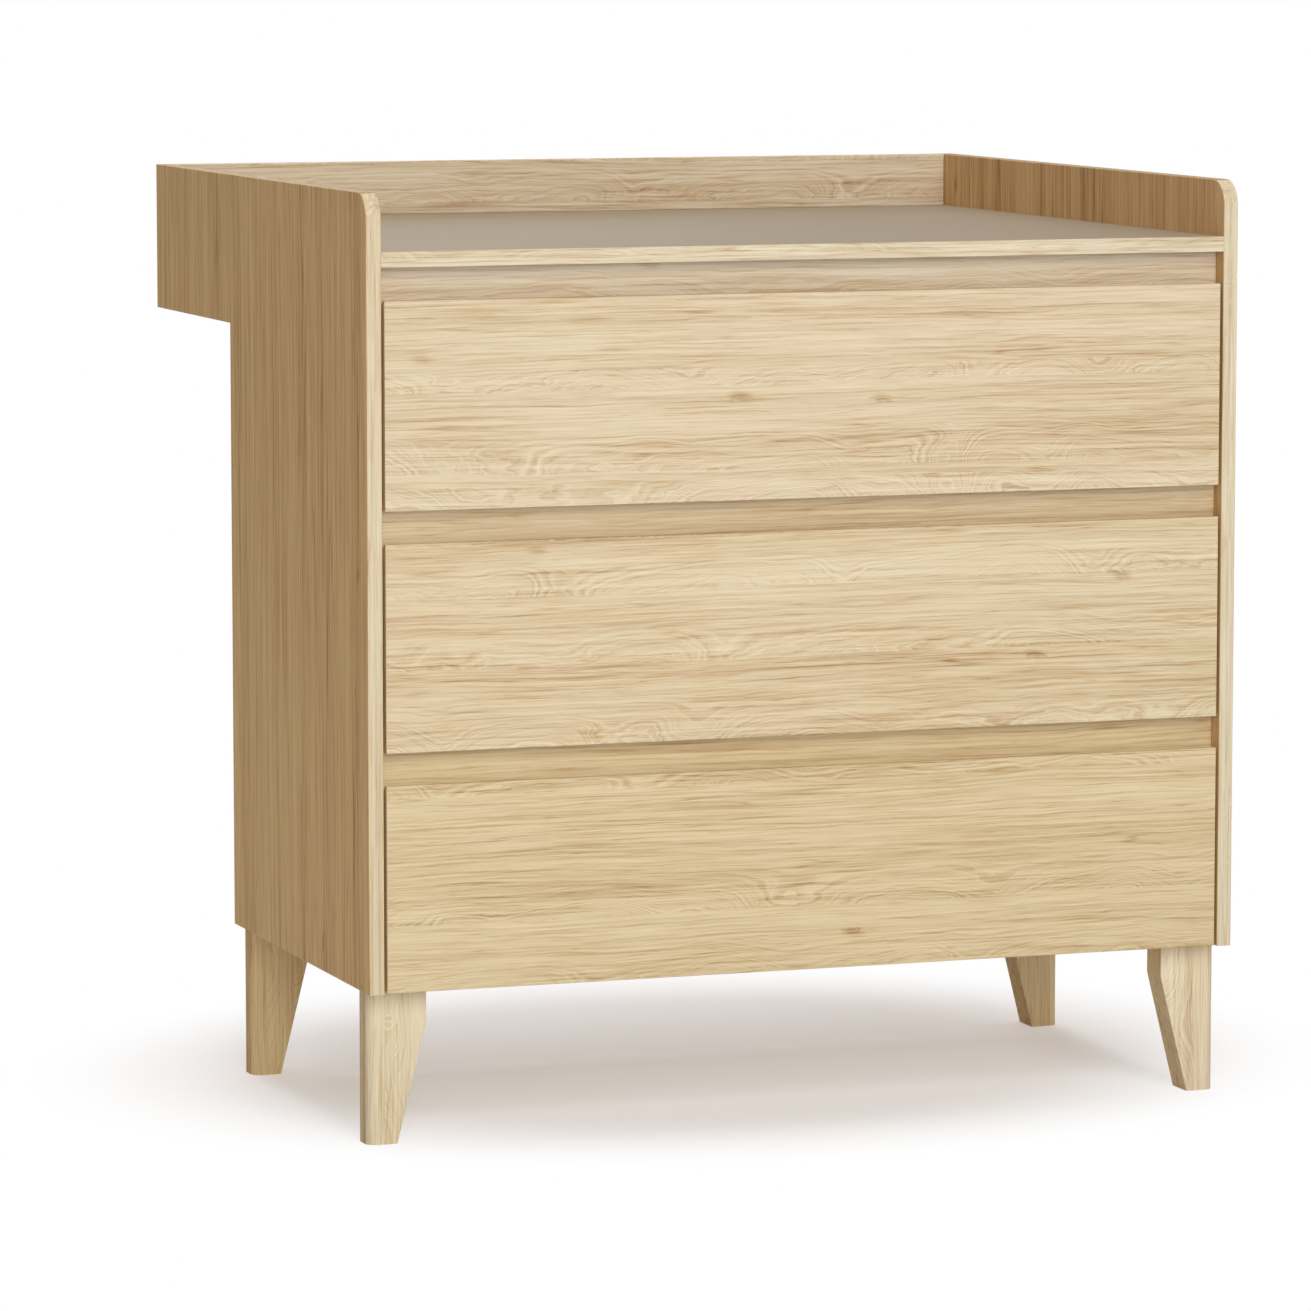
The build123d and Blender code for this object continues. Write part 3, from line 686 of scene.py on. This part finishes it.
def solids_of(node):
    """Points of each separate solid in a CAD node.

    Corners that share a place are one, and edges join them.
    """
    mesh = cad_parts[node].data
    points = np.empty(3 * len(mesh.vertices))
    mesh.vertices.foreach_get("co", points)
    points = points.reshape(-1, 3)
    ends = np.empty(2 * len(mesh.edges), int)
    mesh.edges.foreach_get("vertices", ends)
    _, corner = np.unique(points.round(SAME_PLACE_DIGITS), axis=0, return_inverse=True)
    corner = corner.ravel()
    start, stop = corner[ends].reshape(-1, 2).T
    label = np.arange(corner.max() + 1)
    joined_before = np.zeros_like(label)
    while (joined_before != label).any():
        joined_before = label.copy()
        lower = np.minimum(label[start], label[stop])
        np.minimum.at(label, start, lower)
        np.minimum.at(label, stop, lower)
        label = label[label]
    group = label[corner]
    return [points[group == value] for value in np.unique(group)]


def stand_of(solid):
    """Head's centre, direction and length of a turned solid. The head is at its thicker end."""
    low, high = solid.min(axis=0), solid.max(axis=0)
    axis = int(np.argmax(high - low))
    reach = high[axis] - low[axis]
    centre = (low + high) / 2
    away = np.linalg.norm(np.delete(solid - centre, axis, axis=1), axis=1)
    part = (solid[:, axis] - low[axis]) / reach
    flipped = away[part > 1 - END_SHARE].max() > away[part < END_SHARE].max()
    way = np.eye(3)[axis] * (-1 if flipped else 1)
    return centre - way * reach / 2, way, reach


def turned_points(shape, place, way, spin):
    """Points of a turned grid, pole first and last, set up at a place along a direction.

    A point is place + r (cos(a) side + sin(a) way x side) + z way.
    """
    radii, depths, first, last = shape
    side = np.eye(3)[(int(np.argmax(abs(way))) + 1) % 3]
    turn = angles(radii.shape[1]) + spin
    outward = np.cos(turn)[:, None] * side + np.sin(turn)[:, None] * np.cross(way, side)
    grid = radii[:, :, None] * outward + depths[:, :, None] * way
    return place + np.vstack([first * way, grid.reshape(-1, 3), last * way])


def turned_faces(rows, columns):
    """Quads between the rows of a turned grid and triangles at each pole, facing outwards."""
    here = 1 + np.arange(rows * columns).reshape(rows, columns)
    beside = np.roll(here, -1, axis=1)
    quads = np.stack([here[:-1], beside[:-1], beside[1:], here[1:]], axis=-1).reshape(-1, 4)
    pole = rows * columns + 1
    first = [(0, b, a) for a, b in zip(here[0], beside[0])]
    last = [(pole, a, b) for a, b in zip(here[-1], beside[-1])]
    return first + quads.tolist() + last


def fit_turned(name, node, body, slot, material, *shapes):
    """One piece of turned fittings in place of a CAD node. Each solid gets the shape of its length."""
    by_length = {round(shape[3] * LENGTH_STEPS): shape for shape in shapes}
    points, faces, count = [], [], 0
    for place, solid in enumerate(solids_of(node)):
        head, way, reach = stand_of(solid)
        shape = by_length[round(reach * LENGTH_STEPS)]
        placed = turned_points(shape, head, way, place * GOLDEN_TURN)
        points.append(placed)
        faces += [[corner + count for corner in face] for face in turned_faces(*shape[0].shape)]
        count += len(placed)
    mesh = bpy.data.meshes.new(name)
    mesh.from_pydata(np.vstack(points), [], faces)
    mesh.polygons.foreach_set("use_smooth", np.ones(len(mesh.polygons), bool))
    mesh.set_sharp_from_angle(angle=SMOOTH_BELOW)
    mesh.materials.append(material)
    piece = bpy.data.objects.new(name, mesh)
    bpy.context.scene.collection.objects.link(piece)
    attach(piece, body)
    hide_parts(node)


# Operators for the pieces

class DressFronts(Operator):
    """Oak of the drawer fronts, grain from side to side"""
    bl_idname = "changing_table.drawer_fronts"
    bl_label = "Drawer fronts"
    bl_options = {"REGISTER", "UNDO"}

    def execute(self, context):
        lay_oak(FRONTS, context)
        return {"FINISHED"}


class DressRails(Operator):
    """Oak of the rails behind the grip gaps, the rear guard and the top's front band"""
    bl_idname = "changing_table.rails"
    bl_label = "Rails, guard and front band"
    bl_options = {"REGISTER", "UNDO"}

    def execute(self, context):
        lay_oak(RAILS, context)
        lay_oak(GUARD_AND_BAND, context)
        return {"FINISHED"}


class DressSides(Operator):
    """Oak of the side panels, straight grain from floor to top"""
    bl_idname = "changing_table.side_panels"
    bl_label = "Side panels"
    bl_options = {"REGISTER", "UNDO"}

    def execute(self, context):
        lay_oak(SIDES, context)
        return {"FINISHED"}


class DressLegs(Operator):
    """Solid oak of the legs, wavy grain down the leg"""
    bl_idname = "changing_table.legs"
    bl_label = "Legs"
    bl_options = {"REGISTER", "UNDO"}

    def execute(self, context):
        lay_oak(LEGS, context)
        return {"FINISHED"}


class DressFloor(Operator):
    """Oak of the chest's floor"""
    bl_idname = "changing_table.chest_floor"
    bl_label = "Chest floor"
    bl_options = {"REGISTER", "UNDO"}

    def execute(self, context):
        lay_oak(CHEST_FLOOR, context)
        return {"FINISHED"}


class DressTop(Operator):
    """Greige laminate of the changing top"""
    bl_idname = "changing_table.changing_top"
    bl_label = "Changing top"
    bl_options = {"REGISTER", "UNDO"}

    def execute(self, context):
        look = context.scene.changing_table.plain
        paint("changing_top", plain_finish("greige_laminate", look.laminate, LAMINATE))
        return {"FINISHED"}


class DressBoxes(Operator):
    """Foiled boards of the drawer boxes and the thin hardboard panels"""
    bl_idname = "changing_table.drawer_boxes"
    bl_label = "Drawer boxes and hardboard"
    bl_options = {"REGISTER", "UNDO"}

    def execute(self, context):
        look = context.scene.changing_table.plain
        foil = plain_finish("drawer_foil", look.drawer, FOIL)
        thin = plain_finish("hardboard", look.hardboard, HARDBOARD)
        paint("back_panel", thin)
        for drawer in DRAWERS:
            paint(f"{drawer}_drawer_bottom", thin)
            for board in ("left_side", "right_side", "back"):
                paint(f"{drawer}_drawer_{board}", foil)
        return {"FINISHED"}


class DressRunners(Operator):
    """Coated steel of the runners and nylon of the rollers"""
    bl_idname = "changing_table.runners"
    bl_label = "Runners and rollers"
    bl_options = {"REGISTER", "UNDO"}

    def execute(self, context):
        look = context.scene.changing_table.plain
        coat = plain_finish("runner_coat", look.coat, COAT)
        nylon = plain_finish("nylon", look.nylon, NYLON)
        for drawer in DRAWERS:
            for hand in HANDS:
                paint(f"{drawer}_cabinet_runner_{hand}", coat)
                paint(f"{drawer}_drawer_runner_{hand}", coat)
            for place in PLACES:
                paint(f"{drawer}_{place}_rollers", nylon)
        return {"FINISHED"}


class FitScrews(Operator):
    """Screws of the legs, the runners and the drawers, and the panel pins"""
    bl_idname = "changing_table.screws"
    bl_label = "Screws and pins"
    bl_options = {"REGISTER", "UNDO"}

    def execute(self, context):
        look = context.scene.changing_table.plain
        finish = ("zinc_steel", metal("zinc_plate", tuple(look.zinc), PLATE_ROUGHNESS))
        leg, runner, back = screw(**LEG_SCREW), screw(**RUNNER_SCREW), screw(**BACK_SCREW)
        fit_turned("leg_screw_set", "leg_screws", "carcass", *finish, leg)
        fit_turned("runner_screw_set", "runner_screws", "carcass", *finish, runner)
        fit_turned("back_pin_set", "back_panel_pins", "carcass", *finish, pin())
        for drawer in DRAWERS:
            name, node = f"{drawer}_drawer_screw_set", f"{drawer}_drawer_fasteners"
            fit_turned(name, node, f"{drawer}_drawer", *finish, back, runner, pin())
        return {"FINISHED"}


class FitCams(Operator):
    """Cams, and their bolts with a thread and a necked head"""
    bl_idname = "changing_table.cams"
    bl_label = "Cams and bolts"
    bl_options = {"REGISTER", "UNDO"}

    def execute(self, context):
        look = context.scene.changing_table.plain
        zinc = metal("zinc_casting", tuple(look.zinc), CASTING_ROUGHNESS)
        paint("cam_locks", zinc)
        fit_turned("cam_bolt_set", "cam_bolts", "carcass", "zinc_steel", zinc, cam_bolt())
        return {"FINISHED"}


class FitDowels(Operator):
    """Fluted beech dowels of the chest and the drawers"""
    bl_idname = "changing_table.dowels"
    bl_label = "Dowels"
    bl_options = {"REGISTER", "UNDO"}

    def execute(self, context):
        look = context.scene.changing_table.plain
        finish = ("beech_dowel", plain_finish("beech", look.beech, BEECH))
        thick, thin = dowel(CHEST_DOWEL, DOWEL_LENGTH), dowel(DRAWER_DOWEL, DOWEL_LENGTH)
        fit_turned("chest_dowel_set", "carcass_dowels", "carcass", *finish, thick)
        for drawer in DRAWERS:
            name, node = f"{drawer}_drawer_dowel_set", f"{drawer}_drawer_dowels"
            fit_turned(name, node, f"{drawer}_drawer", *finish, thin)
        return {"FINISHED"}


# Stage

CAMERA_PLACE = (-2.378417, -6.585008, 1.256627)
CAMERA_YAW = 19.63445
CAMERA_PITCH = 6.6
CAMERA_REACH = 200.0
SENSOR = 36.0
FLOOR_REACH = 60.0
FLOOR_SHAPE = (1.4, 1.7, 1.0)
FLOOR_FADE = (0.56, 1.05)
KEY_BOX = dict(place=(-0.4, -4.5, 2.25), aim=(0, 0, 0.42), size=3.5)
OVERHEAD_BOX = dict(place=(0.0, 1.0, 4.1), aim=(0, 0.2, 0), size=2.4)
REAR_BOX = dict(place=(0.4, 5.0, 2.6), aim=(0, 0.2, 0.45), size=3.0)


def seen_rays(start):
    """1 for rays from the camera and for what shows in reflections and through glass, else 0."""
    kinds = {output.socket.name: output for output in start.node("LightPath", {}, {}).outputs()}
    rays = kinds["Is Camera Ray"] + kinds["Is Glossy Ray"] + kinds["Is Transmission Ray"]
    return rays.math("MINIMUM", 1.0)


def softbox(name, power, place, aim, size):
    """Square lamp at a place, turned to what it is aimed at."""
    lamp = bpy.data.lights.new(name, "AREA")
    lamp.shape = "SQUARE"
    lamp.size = size
    lamp.energy = power
    holder = bpy.data.objects.new(name, lamp)
    holder.location = place
    holder.rotation_euler = (Vector(aim) - Vector(place)).to_track_quat("-Z", "Y").to_euler()
    bpy.context.scene.collection.objects.link(holder)


class SetStage(Operator):
    """Pale floor, soft studio light, and the camera"""
    bl_idname = "changing_table.stage"
    bl_label = "Stage"
    bl_options = {"REGISTER", "UNDO"}

    def execute(self, context):
        look = context.scene.changing_table.studio
        self.floor(look)
        self.sky(context.scene, look)
        softbox("key", look.key, **KEY_BOX)
        softbox("overhead", look.overhead, **OVERHEAD_BOX)
        softbox("rear", look.rear, **REAR_BOX)
        self.camera(context.scene, look)
        context.scene.view_settings.view_transform = "Standard"
        return {"FINISHED"}

    def floor(self, look):
        """Floor that takes shadows near the table and fades to white away from it."""
        reach = FLOOR_REACH
        corners = [(-reach, -reach, 0), (reach, -reach, 0), (reach, reach, 0), (-reach, reach, 0)]
        mesh = bpy.data.meshes.new("floor")
        mesh.from_pydata(corners, [], [(0, 1, 2, 3)])
        floor = bpy.data.objects.new("floor", mesh)
        bpy.context.scene.collection.objects.link(floor)
        material, start = new_material("pale_floor")
        seen = seen_rays(start)
        away = start.node("TexCoord", {}, {}, "Object").scaled(FLOOR_SHAPE).magnitude()
        matt = start.node("BsdfDiffuse", {}, {"Color": (*look.floor, 1)})
        glow = start.node("Emission", {}, {"Color": (*look.floor_glow, 1), "Strength": seen})
        near = start.node("AddShader", {}, {0: matt, 1: glow})
        white = start.node("Emission", {}, {"Strength": 1.0})
        fade = away.step(*FLOOR_FADE) * seen
        both = start.node("MixShader", {}, {0: fade, 1: near, 2: white})
        start.node("OutputMaterial", {}, {"Surface": both})
        mesh.materials.append(material)

    def sky(self, scene, look):
        """White to the camera, and an even warm light on the table."""
        world = bpy.data.worlds.new("studio")
        world.use_nodes = True
        world.node_tree.nodes.clear()
        start = Shade(world.node_tree)
        seen = seen_rays(start)
        white = start.node("Background", {}, {"Color": (1, 1, 1, 1), "Strength": 1.0})
        fill = start.node("Background", {}, {"Color": (*look.fill, 1), "Strength": look.ambient})
        even = start.node("MixShader", {}, {0: seen, 1: fill, 2: white})
        start.node("OutputWorld", {}, {"Surface": even})
        scene.world = world

    def camera(self, scene, look):
        eye = bpy.data.cameras.new("camera")
        eye.sensor_width = SENSOR
        eye.lens = look.lens
        eye.clip_end = CAMERA_REACH
        holder = bpy.data.objects.new("camera", eye)
        holder.location = CAMERA_PLACE
        holder.rotation_euler = (radians(90 - CAMERA_PITCH), 0, radians(-CAMERA_YAW))
        scene.collection.objects.link(holder)
        scene.camera = holder


# Add-on

STEPS = (
    DressFronts, DressRails, DressSides, DressLegs, DressFloor, DressTop, DressBoxes, DressRunners,
    FitScrews, FitCams, FitDowels, SetStage,
)


class ChangingTablePanel(Panel):
    """Steps that finish the changing table"""
    bl_idname = "VIEW3D_PT_changing_table"
    bl_label = "Changing table"
    bl_space_type = "VIEW_3D"
    bl_region_type = "UI"
    bl_category = "Changing Table"

    def draw(self, context):
        look = context.scene.changing_table
        for group in (look.oak, look.plain, look.studio):
            for name in group.__annotations__:
                self.layout.prop(group, name)
        for step in STEPS:
            self.layout.operator(step.bl_idname)


CLASSES = (OakLook, PlainLook, StudioLook, ChangingTableLook, *STEPS, ChangingTablePanel)


def register():
    for made in CLASSES:
        bpy.utils.register_class(made)
    bpy.types.Scene.changing_table = PointerProperty(type=ChangingTableLook)


def unregister():
    del bpy.types.Scene.changing_table
    for made in reversed(CLASSES):
        bpy.utils.unregister_class(made)


def main():
    register()
    for step in STEPS:
        group, name = step.bl_idname.split(".")
        getattr(getattr(bpy.ops, group), name)()


if __name__ == "__main__":
    main()
